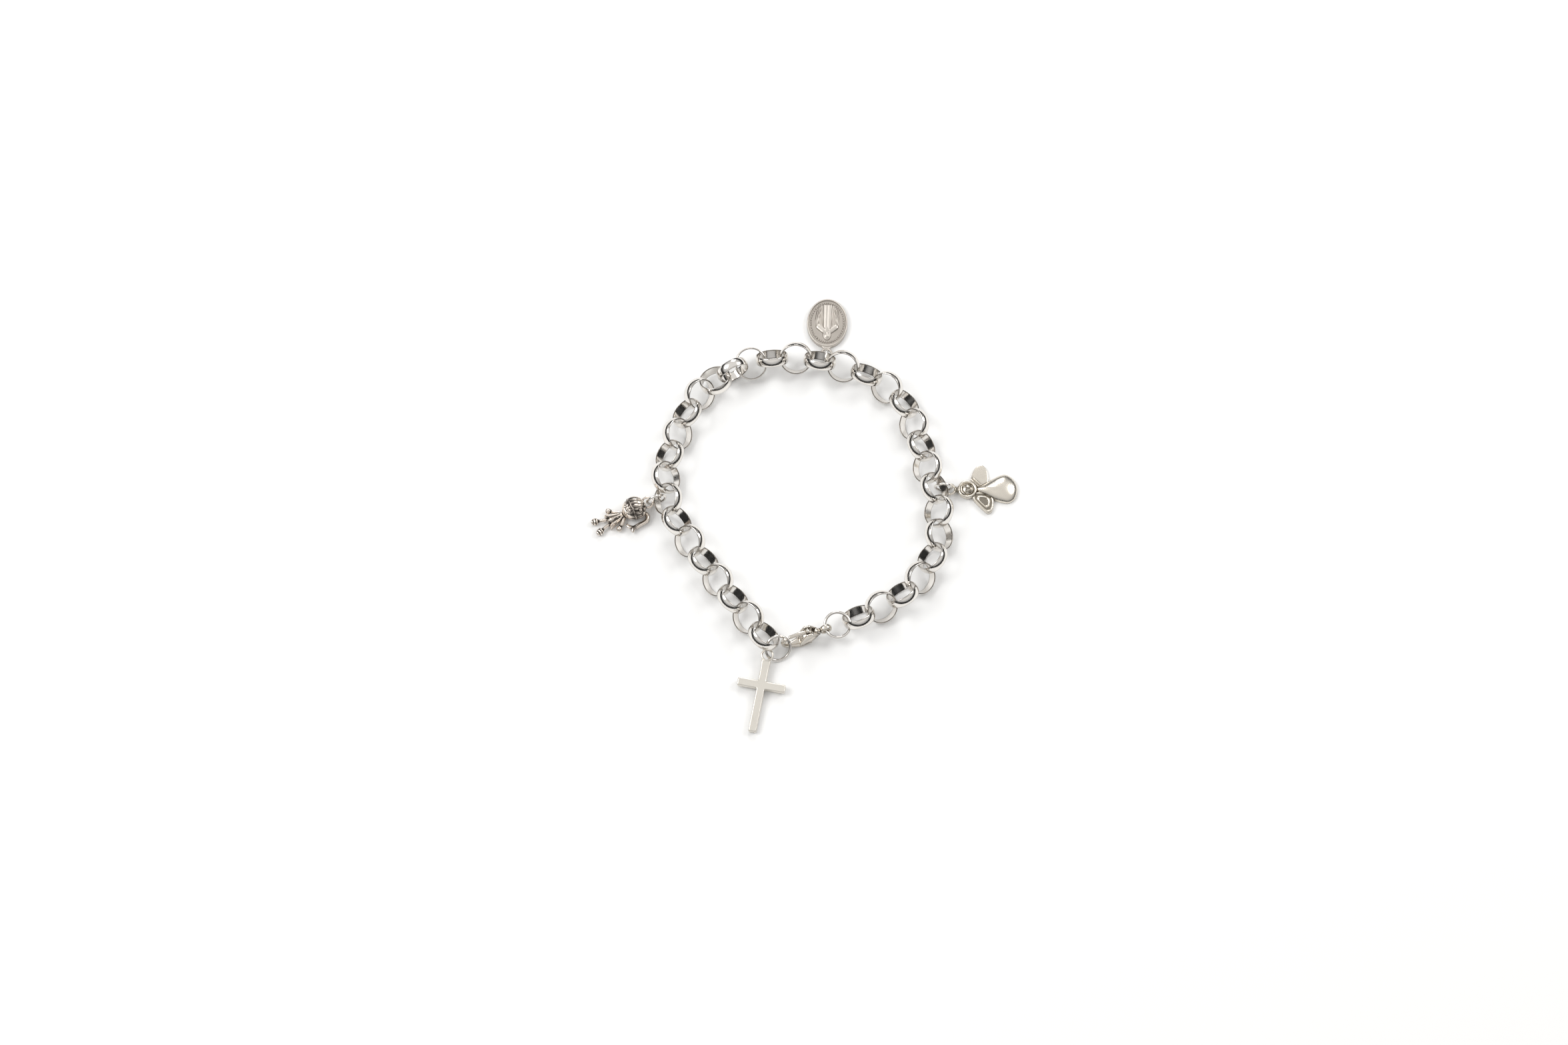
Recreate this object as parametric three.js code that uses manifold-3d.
// Silver charm bracelet, fastened and lying flat as a closed loop.
// Millimetres, +Z up. The surface it lies on is z = 0 and the middle of its outline is x = y = 0.
import * as THREE from 'three';
import Module from 'manifold-3d';
import { mergeVertices } from 'three/addons/utils/BufferGeometryUtils.js';

const wasm = await Module();
wasm.setup();

// Length of the fastened bracelet along the middle of its chain; an even number of links fills it
const braceletLength = 187.5;

// Chain of round links, each a short crowned band
const linkDiameter = 7.06;
const linkWall = 0.45;
const linkWidth = 1.9;
const linkCrown = 0.16;
const linkSides = 16;
const linkSlack = 0.58;
const hangSlack = 0.1;
const linkTiltDegrees = 45;
const standingShare = 0.59;
const nextLeanDegrees = 25;
const secondLeanDegrees = 48;

// Rings that join the chain to the clasp
const endRingDiameter = 5.8;
const endRingWire = 0.6;
const endRingSides = 14;
const ringWireSides = 6;

// Rings that hold the charms
const charmRingDiameter = 4.0;
const girlRingDiameter = 4.4;
const charmRingWire = 0.55;
const charmRingSides = 12;
const charmWireSides = 5;

// Clearances
const floorGap = 0.05;
const joinSlack = 0.85;
const endRingLean = 12;
const pieceGap = 0.15;

// Clasp, drawn in its own upright plane from the middle of its tail eye
const claspHookReach = 8.4;
const claspHeight = 5.6;
const claspThickness = 2.4;
const claspHookThickness = 1.1;
const claspTailThickness = 1.3;
const claspEyeRadius = 1.3;
const claspEyeHole = 0.75;
const claspArm = 0.8;
const claspMouthStart = 4.5;
const claspNeckHeight = 1.9;
const claspEyeOpening = 50;
const claspTipTurn = 38;
const leverThickness = 1.0;
const leverPivotX = 3.7;
const leverPivotDrop = 1.35;
const leverHub = 0.72;
const leverBar = 0.85;
const leverTab = 0.75;
const leverHubFrom = 150;
const leverHubTo = 300;
const leverGap = 0.2;

// Charm eyes, all small rings in the plane of their charm
const eyeDiameter = 2.7;
const eyeWire = 0.45;
const eyeHeight = 0.98;
const eyeSides = 12;
const eyeWireSides = 6;

// Cross
const crossLength = 15.3;
const crossSpan = 9.9;
const crossBar = 1.7;
const crossThickness = 1.2;
const crossBevel = 0.28;
const crossArmFromTop = 5.3;

// Oval medal
const medalLength = 11.2;
const medalWidth = 8.6;
const medalThickness = 0.85;
const medalRimWidth = 0.45;
const medalRimHeight = 0.35;
const medalRelief = 0.5;
const medalBeadCount = 26;
const medalBead = 0.27;
const medalRayCount = 3;
const medalNeck = 0.6;
const medalNeckWidth = 1.6;

// Angel
const angelHeadRadius = 1.45;
const angelHaloRadius = 2.05;
const angelHaloWire = 0.3;
const angelRobeLength = 8.9;
const angelRobeWidth = 6.3;
const angelRobeHeight = 1.9;
const angelWingReach = 5.75;
const angelWingThickness = 0.75;
const angelRidge = 0.28;

// Wing outlines from the middle of the angel's head, as shares of the wing reach
const upperWing = [[0.1, 0.1], [0.75, 0.14], [0.74, 0.59], [0.59, 0.96], [0.43, 1], [0.24, 0.75]];
const lowerWing = [[0.19, -0.1], [0.16, -0.33], [0.68, -0.89], [0.83, -0.92], [0.97, -0.43], [0.87, -0.17]];

// Girl
const girlHeadRadius = 2.3;
const girlHeadHeight = 4.1;
const girlDressLength = 3.5;
const girlDressWidth = 3.5;
const girlDressThickness = 1.6;
const girlLeg = 0.34;
const girlLegLength = 2.1;
const girlShoeLength = 1.7;
const girlShoeWidth = 1.15;
const girlHand = 0.55;
const girlStrand = 0.42;

// The girl's long strand from the middle of her head, in head radii, and where her hands and feet lie
// beside the middle line, in dress widths
const strandRoute = [[-0.85, 0.52], [-0.96, 1.04], [-0.57, 1.46], [0.26, 1.48], [0.83, 1.57], [0.93, 1.91]];
const handSides = [-0.63, 0.66];
const footSides = [-0.37, 0.34];

// Points chosen by hand along the middle of the chain, counter-clockwise from the first link
const chainRoute = [
  [15.9, -23.1],
  [24.7, -18.3],
  [30.1, -12.2],
  [32.7, -4.3],
  [32.1, 3.5],
  [30.4, 10.0],
  [28.8, 16.3],
  [25.7, 24.7],
  [18.2, 31.0],
  [7.5, 34.1],
  [-1.2, 34.9],
  [-9.2, 32.6],
  [-16.7, 27.1],
  [-21.4, 18.0],
  [-23.8, 8.6],
  [-22.8, 0.8],
  [-18.6, -6.7],
  [-12.5, -15.5],
  [-6.0, -23.9],
  [-2.4, -27.9],
  [4.5, -28.3],
  [11.4, -25.3],
];
const claspSpot = new THREE.Vector3(1, -27, 0);

// Where each charm hangs: its link as a share of the links, where the middle of its ring stands from
// the middle of that link (along the chain, and inside the link's low side), how far that low side
// lies below the middle of the ring, and how far the ring is turned from the link's heading and the
// charm from the ring's, in degrees
const medalHang = {
  share: 0.47, along: -1.0, inside: 0.45, below: 0.28, ring: charmRingDiameter, turn: -83, charmTurn: 2,
};
const angelHang = {
  share: 0.235, along: 0.63, inside: 0.18, below: 0.26, ring: charmRingDiameter, turn: -105.3, charmTurn: 3,
};
const girlHang = {
  share: 0.77, along: -1.15, inside: 0.05, below: 0.67, ring: girlRingDiameter, turn: -87.7, charmTurn: 10,
};
const hangs = [medalHang, angelHang, girlHang];
const crossTurn = -48.9;

// The ring that joins the last link, the clasp's hook and the cross: its place beyond the last link
// and its lean, in degrees from that link's heading, and where on it the hook and the cross hold
const hookRingDistance = 3.69;
const hookRingSwing = 13;
const hookRingStrike = -104.3;
const hookRingTilt = 42.3;
const hookHoldTurn = 187;
const crossHoldTurn = 11.4;
const hookHoldSlack = 0.5;

const radians = THREE.MathUtils.degToRad;
const polar = (angle, length) => new THREE.Vector3(Math.cos(angle), Math.sin(angle), 0).multiplyScalar(length);

const linkRadius = linkDiameter / 2;
const linkMid = linkRadius - linkWall / 2;
const linkInner = (linkRadius - linkWall) * Math.cos(Math.PI / linkSides);
const endRingMid = (endRingDiameter - endRingWire) / 2;
const endRingToLink = linkInner + endRingMid - endRingWire / 2 - joinSlack;
const eyeMid = (eyeDiameter - eyeWire) / 2;
const girlEyeHeight = girlHeadHeight / 2 - 0.1;

// Solids
function closed(geometry) {
  const bare = geometry.index ? geometry : geometry.clone();
  bare.deleteAttribute('normal');
  if (bare.hasAttribute('uv')) {
    bare.deleteAttribute('uv');
  }
  return mergeVertices(bare, 1e-4);
}

function solid(geometry) {
  const body = closed(geometry);
  return new wasm.Manifold(new wasm.Mesh({
    numProp: 3,
    vertProperties: new Float32Array(body.attributes.position.array),
    triVerts: new Uint32Array(body.index.array),
  }));
}

function joined(geometries) {
  return geometries.map(solid).reduce((whole, next) => whole.add(next));
}

function toGeometry(body) {
  const mesh = body.getMesh();
  const geometry = new THREE.BufferGeometry();
  geometry.setAttribute('position', new THREE.BufferAttribute(new Float32Array(mesh.vertProperties), 3));
  geometry.setIndex(new THREE.BufferAttribute(new Uint32Array(mesh.triVerts), 1));
  return geometry;
}

// A band turned round the z axis from a closed section of [radius, height] points
function turnedBand(section, sides) {
  const profile = [...section, section[0]].map(([radius, height]) => new THREE.Vector2(radius, height));
  return closed(new THREE.LatheGeometry(profile, sides).rotateX(Math.PI / 2));
}

function wireRing(diameter, wire, sides, wireSides) {
  return closed(new THREE.TorusGeometry((diameter - wire) / 2, wire / 2, wireSides, sides));
}

function ball(radiusX, radiusY, radiusZ, x, y, z, around = 12, along = 8) {
  return new THREE.SphereGeometry(1, around, along).rotateX(Math.PI / 2)
    .scale(radiusX, radiusY, radiusZ).translate(x, y, z);
}

// A flat plate with softened edges, its back on z = 0
function plate(shape, thickness, bevel, curveSegments = 4) {
  const geometry = new THREE.ExtrudeGeometry(shape, {
    depth: thickness - 2 * bevel,
    bevelEnabled: bevel > 0,
    bevelThickness: bevel,
    bevelSize: bevel,
    bevelOffset: -bevel,
    bevelSegments: 1,
    curveSegments,
    steps: 1,
  });
  return geometry.translate(0, 0, bevel);
}

function outline(points) {
  return new THREE.Shape(points.map(([x, y]) => new THREE.Vector2(x, y)));
}

// A straight bar of round section between two points
function bar(start, end, radius, sides = 6) {
  const direction = end.clone().sub(start);
  const turn = new THREE.Quaternion().setFromUnitVectors(
    new THREE.Vector3(0, 1, 0),
    direction.clone().normalize(),
  );
  const middle = start.clone().add(end).multiplyScalar(0.5);
  return new THREE.CylinderGeometry(radius, radius, direction.length(), sides)
    .applyQuaternion(turn).translate(middle.x, middle.y, middle.z);
}

// Keeps only what is above the surface, which leaves a flat back
function flatBacked(body) {
  const reach = 60;
  const under = new THREE.BoxGeometry(reach, reach, reach).translate(0, 0, -reach / 2);
  return body.subtract(solid(under));
}

// Materials
const silver = new THREE.MeshStandardMaterial({ color: 0xd9d6d0, roughness: 0.14, metalness: 1 });
const satin = new THREE.MeshStandardMaterial({ color: 0xcfcabf, roughness: 0.34, metalness: 1 });
const matte = new THREE.MeshStandardMaterial({ color: 0xc4bdb2, roughness: 0.42, metalness: 1 });
const antique = new THREE.MeshStandardMaterial({ color: 0xa99a8b, roughness: 0.3, metalness: 1 });

const group = new THREE.Group();

function place(name, geometry, material, position, rotation) {
  const mesh = new THREE.Mesh(geometry, material);
  mesh.name = name;
  mesh.position.copy(position);
  if (rotation) {
    mesh.quaternion.copy(rotation);
  }
  geometry.computeVertexNormals();
  group.add(mesh);
  return mesh;
}

// Rolls a piece about its own x axis, then turns it to a heading
function lay(roll, heading) {
  return new THREE.Quaternion().setFromEuler(new THREE.Euler(roll, 0, heading, 'ZYX'));
}

// Two links whose rolls differ by a crossing angle reach this far before their edges meet
function pitchAt(crossing) {
  const reach = linkWidth / 2 / Math.tan(crossing / 2);
  const slack = linkSlack * (4 - crossing / (Math.PI / 6));
  return 2 * Math.sqrt(linkInner ** 2 - reach ** 2) - slack;
}

// Stretch of the clasp and its two rings, along the loop
const claspSpan = claspHookReach - hookHoldSlack + endRingMid;
const claspStretch = hookRingDistance + endRingMid + claspSpan + endRingToLink;

const linkPairs = Math.round((braceletLength - claspStretch) / pitchAt(radians(2 * linkTiltDegrees)) / 2 + 0.5);
const linkCount = 2 * linkPairs;
const standingLink = 2 * Math.round(standingShare * linkPairs);

// A charm hangs on a link that leans inwards, so that its low side is outside
function hangLink(hang) {
  const even = 2 * Math.round(hang.share * linkPairs);
  return even < standingLink ? even : even + 1;
}

// Links lean to the outside and the inside in turn; one stands upright and swaps the order
function linkRoll(number) {
  const away = Math.abs(number - standingLink);
  if (away === 0) {
    return radians(90);
  }
  const outward = (number % 2 === 1) === (number < standingLink);
  const lean = [linkTiltDegrees, nextLeanDegrees, secondLeanDegrees][away > 2 ? 0 : away];
  return radians(outward ? -lean : lean);
}

// Links that cross at less than a right angle lock at a shorter pitch, and a hung one has more slack
function pitchAfter(number) {
  const turn = Math.abs(linkRoll(number + 1) - linkRoll(number));
  const hung = hangs.some((hang) => hangLink(hang) === number || hangLink(hang) === number + 1);
  return pitchAt(Math.min(turn, Math.PI - turn)) - (hung ? hangSlack : 0);
}

const linkStations = [0];
for (let number = 1; number < linkCount; number += 1) {
  linkStations.push(linkStations[number - 1] + pitchAfter(number));
}

// The clasp lies a little straighter than the rest of the loop
const claspBend = 1.02;
const loopLength = linkStations[linkCount - 1] + claspStretch / claspBend;

// The route keeps its shape near the clasp, and is spread or drawn in more and more away from it
function spreadRoute(spread) {
  const points = chainRoute.map(([x, y]) => {
    const away = new THREE.Vector3(x, y, 0).sub(claspSpot);
    const share = THREE.MathUtils.smoothstep(away.length(), claspStretch / 2, claspStretch * 2);
    return away.multiplyScalar(1 + spread * share).add(claspSpot);
  });
  const curve = new THREE.CatmullRomCurve3(points, true);
  curve.arcLengthDivisions = 2000;
  return curve;
}

function closedRoute() {
  let spread = 0;
  for (let step = 0; step < 20; step += 1) {
    spread += loopLength / spreadRoute(spread).getLength() - 1;
  }
  return spreadRoute(spread);
}

const route = closedRoute();

// Middle of a link seen from above, and the heading between the links before and after it
function linkSpot(number) {
  return route.getPointAt(linkStations[number - 1] / loopLength);
}

function linkHeading(number) {
  const before = linkSpot(Math.max(number - 1, 1));
  const after = linkSpot(Math.min(number + 1, linkCount));
  return Math.atan2(after.y - before.y, after.x - before.x);
}

function linkHeight(roll) {
  const edge = linkRadius - linkCrown;
  const crownHeight = linkRadius * Math.abs(Math.sin(roll));
  const edgeHeight = edge * Math.abs(Math.sin(roll)) + (linkWidth / 2) * Math.abs(Math.cos(roll));
  return Math.max(crownHeight, edgeHeight);
}

// A charm ring passes under the low side of its link, so that link and its neighbours ride higher
const lowSideHeight = linkHeight(radians(linkTiltDegrees)) - linkMid * Math.sin(radians(linkTiltDegrees));
const lowSideReach = linkMid * Math.cos(radians(linkTiltDegrees));

function hangLift(hang) {
  return hang.ring / 2 + floorGap - hang.below - lowSideHeight;
}

function linkLift(number) {
  return hangs.reduce((lift, hang) => {
    const share = [1, 0.6, 0.25][Math.abs(number - hangLink(hang))] ?? 0;
    return Math.max(lift, share * hangLift(hang));
  }, 0);
}

function linkPlace(number) {
  const roll = linkRoll(number);
  const leaning = linkHeight(radians(linkTiltDegrees));
  const height = Math.max(linkHeight(roll), leaning) + linkLift(number);
  return { position: linkSpot(number).setZ(height), heading: linkHeading(number), roll };
}

function addLinks() {
  const edge = linkRadius - linkCrown;
  const half = linkWidth / 2;
  const inner = linkRadius - linkWall;
  const section = [[inner, -half], [edge, -half], [linkRadius, 0], [edge, half], [inner, half]];
  for (let number = 1; number <= linkCount; number += 1) {
    const { position, heading, roll } = linkPlace(number);
    const name = `link_${String(number).padStart(2, '0')}`;
    place(name, turnedBand(section, linkSides), silver, position, lay(roll, heading));
  }
}

// Charm rings stand on edge. Returns the point on the surface below the charm's eye, which
// hangs on the far side of the ring at the given height, and how the charm is turned.
function addCharmRing(name, hang, height) {
  const mid = (hang.ring - charmRingWire) / 2;
  const link = linkPlace(hangLink(hang));
  const heading = link.heading + radians(hang.turn);
  const middle = link.position.clone()
    .add(polar(link.heading, hang.along))
    .add(polar(link.heading - Math.PI / 2, lowSideReach - hang.inside))
    .setZ(hang.ring / 2 + floorGap);
  const geometry = wireRing(hang.ring, charmRingWire, charmRingSides, charmWireSides);
  place(name, geometry, silver, middle, lay(Math.PI / 2, heading));
  const out = Math.sqrt(mid ** 2 - (middle.z - height) ** 2);
  return { eye: middle.clone().add(polar(heading, out)).setZ(0), turn: lay(0, heading + radians(hang.charmTurn)) };
}

// Cross
function crossShape() {
  const half = crossBar / 2;
  const arm = crossSpan / 2;
  const near = crossArmFromTop - half;
  const far = crossArmFromTop + half;
  const end = 0.22;
  return outline([
    [0, -half], [near, -half], [near, -arm + end], [near + end, -arm], [far - end, -arm],
    [far, -arm + end], [far, -half], [crossLength - end, -half], [crossLength, -half + end],
    [crossLength, half - end], [crossLength - end, half], [far, half], [far, arm - end],
    [far - end, arm], [near + end, arm], [near, arm - end], [near, half], [0, half],
  ]);
}

function charmEye() {
  return wireRing(eyeDiameter, eyeWire, eyeSides, eyeWireSides).translate(0, 0, eyeHeight);
}

function crossGeometry() {
  const bars = plate(crossShape(), crossThickness, crossBevel).translate(eyeMid, 0, 0);
  return toGeometry(joined([bars, charmEye()]));
}

// Oval medal with a raised rim, a ring of beads, and a robed figure with rays from both hands
function ovalPoints(length, width, count) {
  return Array.from({ length: count }, (_, step) => {
    const angle = (2 * Math.PI * step) / count;
    return [(Math.cos(angle) * length) / 2, (Math.sin(angle) * width) / 2];
  });
}

function medalGeometry() {
  const sides = 32;
  const disc = plate(outline(ovalPoints(medalLength, medalWidth, sides)), medalThickness, 0);
  const rimShape = outline(ovalPoints(medalLength, medalWidth, sides));
  const innerLength = medalLength - 2 * medalRimWidth;
  const innerWidth = medalWidth - 2 * medalRimWidth;
  rimShape.holes.push(outline(ovalPoints(innerLength, innerWidth, sides).reverse()));
  const rim = plate(rimShape, medalThickness + medalRimHeight, 0);
  const beadLength = innerLength - 3 * medalBead;
  const beadWidth = innerWidth - 3 * medalBead;
  const beads = ovalPoints(beadLength, beadWidth, medalBeadCount).map(([x, y]) => (
    new THREE.OctahedronGeometry(medalBead).translate(x, y, medalThickness)
  ));
  const top = medalThickness;
  const fieldLength = beadLength - 3 * medalBead;
  const fieldWidth = beadWidth - 3 * medalBead;
  const headX = -0.36 * fieldLength;
  const shoulderX = -0.2 * fieldLength;
  const hemX = 0.44 * fieldLength;
  const robe = plate(outline([
    [shoulderX - 0.35, -0.1 * fieldWidth],
    [shoulderX, -0.17 * fieldWidth],
    [0.05 * fieldLength, -0.12 * fieldWidth],
    [hemX, -0.2 * fieldWidth],
    [hemX, 0.2 * fieldWidth],
    [0.05 * fieldLength, 0.12 * fieldWidth],
    [shoulderX, 0.17 * fieldWidth],
    [shoulderX - 0.35, 0.1 * fieldWidth],
  ]), top + medalRelief, 0.12);
  const folds = [-0.1, 0, 0.1].map((share) => bar(
    new THREE.Vector3(shoulderX + 0.3, share * 0.6 * fieldWidth, top + medalRelief - 0.05),
    new THREE.Vector3(hemX - 0.15, share * fieldWidth, top + medalRelief - 0.05),
    0.14,
    5,
  ));
  const head = ball(0.62, 0.5, 0.5, headX, 0, top + 0.12, 10, 6);
  const pieces = [disc, rim, charmEyeFor(medalLength), robe, head, ...beads, ...folds];
  [-1, 1].forEach((side) => {
    const shoulder = new THREE.Vector3(shoulderX, side * 0.12 * fieldWidth, top + 0.25);
    const hand = new THREE.Vector3(0.02 * fieldLength, side * 0.3 * fieldWidth, top + 0.2);
    pieces.push(bar(shoulder, hand, 0.3, 6));
    for (let ray = 0; ray < medalRayCount; ray += 1) {
      const spread = (0.2 + 0.1 * ray) * fieldWidth;
      const end = new THREE.Vector3((0.34 - 0.07 * ray) * fieldLength, side * (0.13 * fieldWidth + spread), top);
      pieces.push(bar(hand.clone().setZ(top), end, 0.13, 4));
    }
  });
  return toGeometry(joined(pieces).translate([eyeMid + medalNeck + medalLength / 2, 0, 0]));
}

// The eye and its short neck, placed for a charm whose own middle is at x = 0
function charmEyeFor(length) {
  const offset = -(eyeMid + medalNeck + length / 2);
  const neckHeight = eyeHeight + eyeWire / 2;
  const neckLength = medalNeck + medalRimWidth;
  const neck = new THREE.BoxGeometry(neckLength, medalNeckWidth, neckHeight)
    .translate(offset + eyeMid + neckLength / 2, 0, neckHeight / 2);
  return toGeometry(joined([charmEye().translate(offset, 0, 0), neck]));
}

// Angel: head in a halo ring, two ridged wings and a smooth drop-shaped robe
function domed(points, height, divisions) {
  const rings = [[1, 0], [1, 0.3], [0.86, 0.68], [0.56, 0.93], [0, 1]];
  const base = softPoints(points, divisions);
  const middle = base.reduce((sum, [x, y]) => [sum[0] + x / base.length, sum[1] + y / base.length], [0, 0]);
  const positions = [];
  rings.slice(0, -1).forEach(([share, rise]) => {
    base.forEach(([x, y]) => {
      positions.push(middle[0] + (x - middle[0]) * share, middle[1] + (y - middle[1]) * share, rise * height);
    });
  });
  positions.push(middle[0], middle[1], height, middle[0], middle[1], 0);
  const crown = positions.length / 3 - 2;
  const foot = crown + 1;
  const index = [];
  for (let step = 0; step < divisions; step += 1) {
    const next = (step + 1) % divisions;
    for (let ring = 0; ring < rings.length - 2; ring += 1) {
      const low = ring * divisions;
      const high = low + divisions;
      index.push(low + step, low + next, high + next, low + step, high + next, high + step);
    }
    const last = (rings.length - 2) * divisions;
    index.push(last + step, last + next, crown, next, step, foot);
  }
  const geometry = new THREE.BufferGeometry();
  geometry.setAttribute('position', new THREE.Float32BufferAttribute(positions, 3));
  geometry.setIndex(index);
  return geometry;
}

function softPoints(points, divisions) {
  const curve = new THREE.CatmullRomCurve3(points.map(([x, y]) => new THREE.Vector3(x, y, 0)), true);
  return curve.getSpacedPoints(divisions).slice(0, -1).map((point) => [point.x, point.y]);
}

function angelGeometry() {
  const headX = eyeDiameter / 2 + angelHaloRadius + 0.25;
  const robeX = headX + angelHeadRadius + 0.1;
  const length = angelRobeLength;
  const half = angelRobeWidth / 2;
  const robe = domed([
    [robeX - 0.1, 0.1],
    [robeX + 0.24 * length, -0.4 * half],
    [robeX + 0.55 * length, -0.82 * half],
    [robeX + 0.8 * length, -0.92 * half],
    [robeX + 0.97 * length, -0.45 * half],
    [robeX + length, 0.18 * half],
    [robeX + 0.88 * length, 0.84 * half],
    [robeX + 0.68 * length, 1.08 * half],
    [robeX + 0.47 * length, 0.86 * half],
    [robeX + 0.22 * length, 0.35 * half],
  ], angelRobeHeight, 20);
  const wings = [upperWing, lowerWing].flatMap((shares) => {
    const points = shares.map(([x, y]) => [headX + x * angelWingReach, y * angelWingReach]);
    return [plate(outline(points), angelWingThickness, 0.1), ridge(points, angelWingThickness)];
  });
  const halo = wireRing(2 * angelHaloRadius, 2 * angelHaloWire, 14, 6)
    .translate(headX, 0, 2 * angelHaloWire + 0.2);
  const disc = new THREE.CylinderGeometry(angelHaloRadius - 0.3, angelHaloRadius - 0.3, 0.8, 14)
    .rotateX(Math.PI / 2).translate(headX, 0, 0.4);
  const head = ball(angelHeadRadius, angelHeadRadius * 0.95, 1.1, headX + 0.15, 0, 0.75, 12, 8);
  const neck = new THREE.BoxGeometry(1.0, 1.1, eyeHeight + eyeWire / 2)
    .translate(eyeDiameter / 2 + 0.1, 0, (eyeHeight + eyeWire / 2) / 2);
  const body = joined([charmEye(), neck, disc, halo, head, robe, ...wings]);
  return toGeometry(flatBacked(body));
}

// A smaller raised panel inside a wing, following its outline
function ridge(points, height) {
  const middle = points.reduce((sum, [x, y]) => [sum[0] + x / points.length, sum[1] + y / points.length], [0, 0]);
  const panel = (share) => points.map(([x, y]) => [
    middle[0] + (x - middle[0]) * share,
    middle[1] + (y - middle[1]) * share,
  ]);
  const shape = outline(panel(0.78));
  shape.holes.push(outline(panel(0.55).reverse()));
  return plate(shape, height + angelRidge, 0);
}

// Girl lying on her back: ball head with a hair cap and a long strand, flared dress, arms, legs, shoes
function girlGeometry() {
  const middleHeight = girlEyeHeight;
  const headX = eyeDiameter / 2 + girlHeadRadius - 0.35;
  const neckX = headX + girlHeadRadius - 0.2;
  const hemX = neckX + girlDressLength;
  const feetX = hemX + girlLegLength;
  const head = ball(girlHeadRadius, girlHeadRadius, girlHeadHeight / 2, headX, 0, middleHeight, 14, 10);
  const cap = ball(girlHeadRadius * 0.96, girlHeadRadius + 0.14, girlHeadHeight / 2 + 0.14,
    headX - 0.42, 0, middleHeight, 14, 10);
  const eye = wireRing(eyeDiameter, eyeWire, eyeSides, eyeWireSides).translate(0, 0, middleHeight);
  const curls = [0, 1, 2, 3].map((step) => (
    ball(0.42, 0.42, 0.42, headX - 1.7 + 0.55 * step, 1.95 + 0.12 * step, middleHeight + 0.6, 6, 4)
  ));
  const dress = plate(outline([
    [neckX - 0.5, -0.45], [hemX, -girlDressWidth / 2 + 0.2], [hemX + 0.25, 0],
    [hemX, girlDressWidth / 2], [neckX - 0.5, 0.45],
  ]), girlDressThickness, 0.22);
  const low = girlDressThickness / 2;
  const strandPath = strandRoute.map(([x, y]) => (
    new THREE.Vector3(headX + x * girlHeadRadius, y * girlHeadRadius, low)
  ));
  const strand = strandPath.slice(1).flatMap((end, step) => [
    bar(strandPath[step], end, girlStrand, 6),
    ball(girlStrand, girlStrand, girlStrand, end.x, end.y, low, 6, 4),
  ]);
  const legs = footSides.flatMap((side) => {
    const foot = new THREE.Vector3(feetX, side * girlDressWidth, low);
    const hip = new THREE.Vector3(hemX - girlLeg, side * girlDressWidth / 2, low);
    const shoe = ball(girlShoeLength / 2, girlShoeWidth / 2, girlShoeWidth / 2, 0, 0, low, 8, 6)
      .rotateZ(side).translate(feetX + girlShoeLength / 4, foot.y, 0);
    return [bar(hip, foot, girlLeg, 6), shoe];
  });
  const arms = handSides.flatMap((side) => {
    const reach = neckX + (side < 0 ? 0.74 : 0.63) * girlDressLength;
    const hand = new THREE.Vector3(reach, side * girlDressWidth, low);
    const shoulder = new THREE.Vector3(neckX, side * girlHand, low);
    return [bar(shoulder, hand, girlLeg, 6), ball(girlHand, girlHand, girlHand, hand.x, hand.y, low, 8, 6)];
  });
  const pieces = [head, cap, eye, dress, ...curls, ...strand, ...legs, ...arms];
  return toGeometry(flatBacked(joined(pieces)));
}

// Clasp: a claw standing on edge, its hook arm below and its sprung lever on top
function circlePoints(x, y, radius, from, to, steps) {
  return Array.from({ length: steps + 1 }, (_, step) => {
    const angle = radians(from + ((to - from) * step) / steps);
    return [x + radius * Math.cos(angle), y + radius * Math.sin(angle)];
  });
}

const claspFront = claspHookReach + endRingWire / 2 + pieceGap + claspArm;
const claspMiddle = claspHeight / 2;
const leverPivotY = claspHeight - leverPivotDrop;
const hookTipX = claspFront - 1.15;
const hookTipY = claspHeight - 1.35;

function claspOuterShape() {
  const bendRadius = claspHeight / 2;
  const bendX = claspFront - bendRadius;
  const shoulderX = claspMouthStart - 0.9;
  const neck = claspNeckHeight / 2;
  return outline([
    ...circlePoints(0, claspMiddle, claspEyeRadius, claspEyeOpening, 360 - claspEyeOpening, 10),
    [1.9, claspMiddle - neck],
    [shoulderX - 0.4, claspMiddle - neck - 0.75],
    [shoulderX + 1.2, 0.12],
    ...circlePoints(bendX, claspMiddle, bendRadius, -90, 90, 10),
    [shoulderX + 0.9, claspHeight - 0.15],
    [shoulderX - 0.6, claspHeight - 0.95],
    [1.9, claspMiddle + neck],
  ]);
}

function claspMouthShape() {
  const mouthEnd = claspFront - claspArm;
  const radius = claspHeight / 2 - claspArm;
  const bendX = mouthEnd - radius;
  return outline([
    [claspMouthStart, claspArm + 0.35],
    [claspMouthStart + 0.5, claspArm],
    ...circlePoints(bendX, claspMiddle, radius, -90, claspTipTurn, 7),
    [hookTipX, hookTipY],
    [hookTipX - leverGap, claspHeight + 1],
    [claspMouthStart + 0.3, claspHeight + 1],
    [claspMouthStart + 0.15, claspMiddle],
  ]);
}

// The clasp from above: slim at the tail eye, widest behind the mouth, slim again at the hook
function claspPlanShape() {
  const wide = claspThickness / 2;
  const tail = claspTailThickness / 2;
  const hook = claspHookThickness / 2;
  const widestX = claspMouthStart + 0.4;
  const start = -claspEyeRadius - 0.1;
  const half = [[start, tail], [1.2, tail], [widestX - 1.6, wide], [widestX + 0.9, wide],
    [claspFront - 1.8, hook], [claspFront + 0.1, hook]];
  return outline([...half.map(([x, y]) => [x, -y]), ...half.reverse()]);
}

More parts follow.
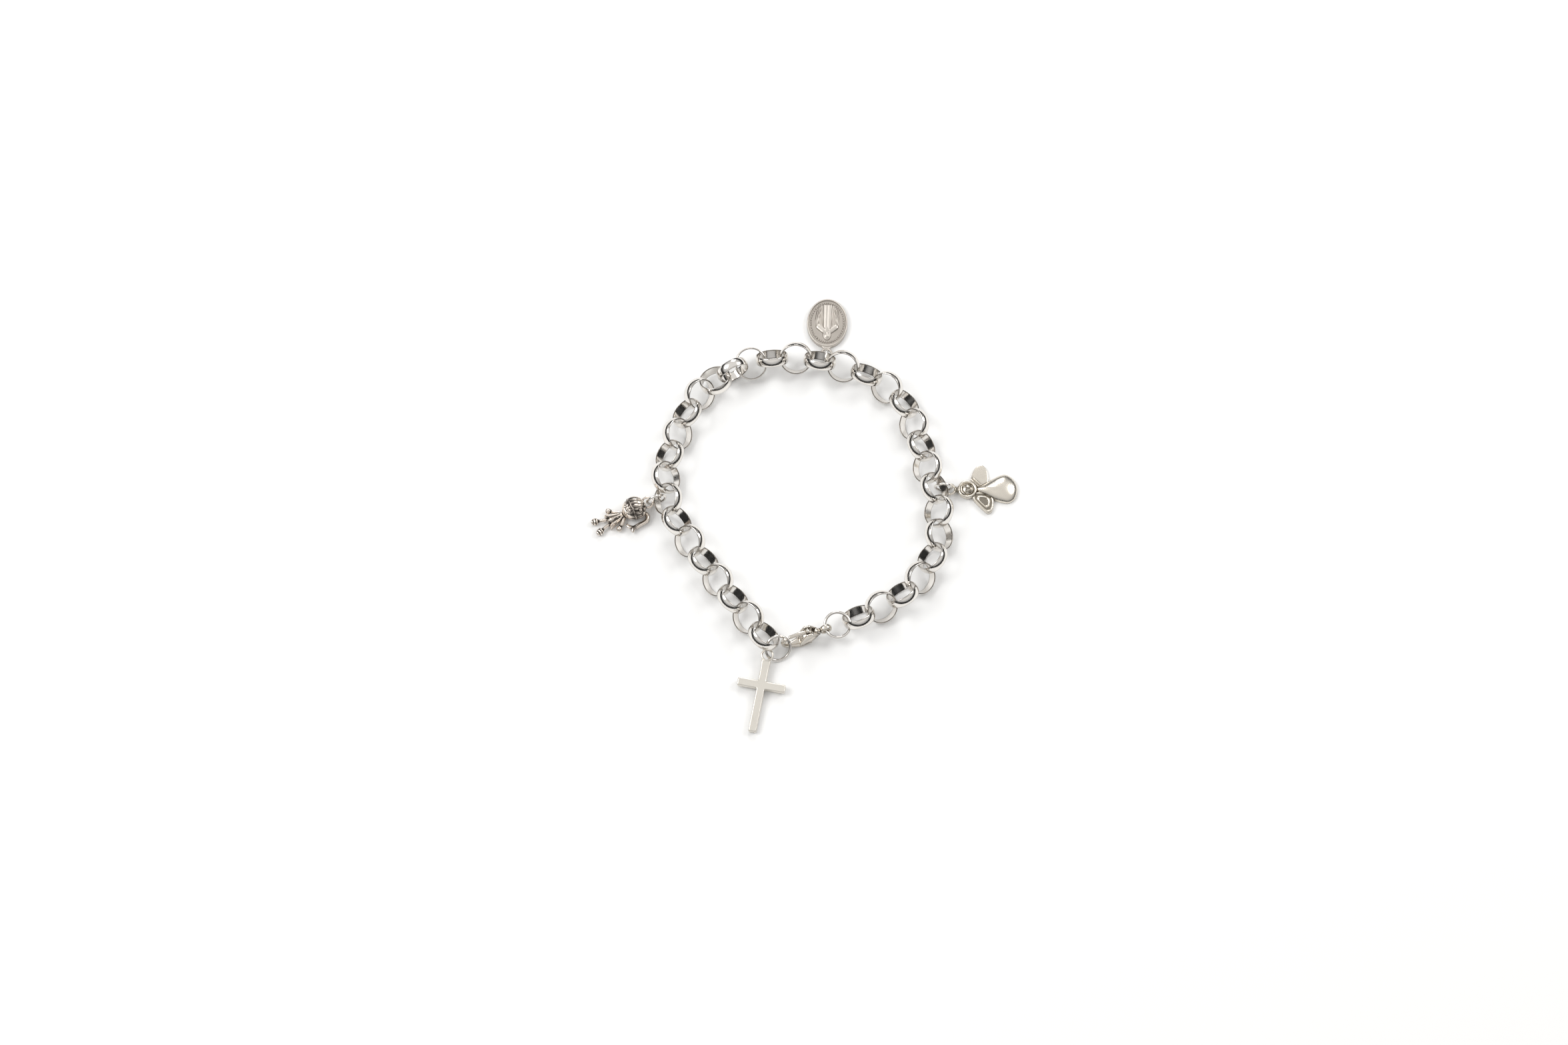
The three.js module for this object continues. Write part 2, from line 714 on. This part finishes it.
function upright(geometry, thickness) {
  return geometry.translate(0, 0, -thickness / 2).rotateX(Math.PI / 2);
}

function claspBodyGeometry() {
  const side = solid(upright(plate(claspOuterShape(), claspThickness, 0.3), claspThickness));
  const outer = side.intersect(solid(plate(claspPlanShape(), claspHeight, 0)));
  const cutDepth = claspThickness + 2;
  const mouth = solid(upright(plate(claspMouthShape(), cutDepth, 0), cutDepth));
  const hole = new THREE.CylinderGeometry(claspEyeHole, claspEyeHole, cutDepth, 10)
    .translate(0, 0, claspMiddle);
  const slotWidth = leverThickness + 2 * leverGap;
  const slotLength = claspMouthStart - leverPivotX + leverHub + leverGap + 1.6;
  const slotDepth = leverPivotDrop + leverHub + leverGap + 1;
  const slot = new THREE.BoxGeometry(slotLength, slotWidth, slotDepth)
    .translate(leverPivotX - leverHub - leverGap + slotLength / 2, 0,
      leverPivotY - leverHub - leverGap + slotDepth / 2);
  return toGeometry(outer.subtract(mouth).subtract(solid(hole)).subtract(solid(slot)));
}

function leverGeometry() {
  const tipX = hookTipX - leverGap - leverPivotX - 0.15;
  const top = leverPivotDrop - 0.25;
  const shape = outline([
    ...circlePoints(0, 0, leverHub, leverHubFrom, leverHubTo, 6),
    [1.3, top - leverBar - 0.15],
    [tipX - 0.3, top - leverBar],
    [tipX, top - leverBar + 0.2],
    [tipX - 0.1, top - 0.1],
    [1.1, top],
    [0.55, top + leverTab],
    [-0.15, top + leverTab],
  ]);
  return toGeometry(solid(upright(plate(shape, leverThickness, 0.12), leverThickness)));
}

// The ring beyond the last link leans about its strike line and rests its low side on the surface
const lastLink = linkPlace(linkCount);
const ringLean = lay(0, lastLink.heading + radians(hookRingStrike))
  .multiply(new THREE.Quaternion().setFromAxisAngle(new THREE.Vector3(1, 0, 0), -radians(hookRingTilt)));
const hookRingMiddle = lastLink.position.clone()
  .add(polar(lastLink.heading + radians(hookRingSwing), hookRingDistance))
  .setZ(endRingMid * Math.sin(radians(hookRingTilt)) + endRingWire / 2 + floorGap);

function onHookRing(turn) {
  return polar(radians(turn), endRingMid).applyQuaternion(ringLean).add(hookRingMiddle);
}

// Third corner of a triangle seen from above, to the right of the line from the first to the second
function thirdCorner(first, second, fromFirst, fromSecond) {
  const span = first.distanceTo(second);
  const share = (fromFirst ** 2 + span ** 2 - fromSecond ** 2) / (2 * fromFirst * span);
  const direction = Math.atan2(second.y - first.y, second.x - first.x);
  return first.clone().add(polar(direction - Math.acos(Math.min(share, 1)), fromFirst));
}

function addClasp() {
  const hold = onHookRing(hookHoldTurn).setZ(0);
  const endRing = thirdCorner(hold, linkSpot(1), claspSpan, endRingToLink);
  const toHook = hold.clone().sub(endRing).normalize();
  const heading = Math.atan2(toHook.y, toHook.x);
  const tail = endRing.clone().addScaledVector(toHook, endRingMid);
  const pivot = tail.clone().addScaledVector(toHook, leverPivotX).setZ(leverPivotY);
  const ring = wireRing(endRingDiameter, endRingWire, endRingSides, ringWireSides);
  place('chain_end_ring', ring, silver, endRing.setZ(claspMiddle),
    lay(radians(-endRingLean), heading));
  place('hook_end_ring', ring.clone(), silver, hookRingMiddle, ringLean);
  place('clasp_body', claspBodyGeometry(), satin, tail, lay(0, heading));
  place('clasp_lever', leverGeometry(), satin, pivot, lay(0, heading));
}

function addCharms() {
  const medal = addCharmRing('medal_ring', medalHang, eyeHeight);
  const angel = addCharmRing('angel_ring', angelHang, eyeHeight);
  const girl = addCharmRing('girl_ring', girlHang, girlEyeHeight);
  place('oval_medal', medalGeometry(), matte, medal.eye, medal.turn);
  place('angel_charm', angelGeometry(), satin, angel.eye, angel.turn);
  place('girl_charm', girlGeometry(), antique, girl.eye, girl.turn);
  const crossEye = onHookRing(crossHoldTurn);
  const rise = Math.asin((crossEye.z - eyeHeight) / (eyeMid + crossLength));
  const turn = lay(0, lastLink.heading + radians(crossTurn))
    .multiply(new THREE.Quaternion().setFromAxisAngle(new THREE.Vector3(0, 1, 0), rise));
  const lowered = new THREE.Vector3(0, 0, eyeHeight).applyQuaternion(turn);
  place('cross_charm', crossGeometry(), satin, crossEye.sub(lowered), turn);
}

addLinks();
addClasp();
addCharms();

// Moves the whole bracelet so that the middle of its outline is above the origin
function centre() {
  group.updateMatrixWorld(true);
  const box = new THREE.Box3().setFromObject(group, true);
  const middle = box.getCenter(new THREE.Vector3());
  group.children.forEach((mesh) => {
    mesh.position.sub(new THREE.Vector3(middle.x, middle.y, box.min.z));
  });
  group.updateMatrixWorld(true);
}

centre();

export default group;
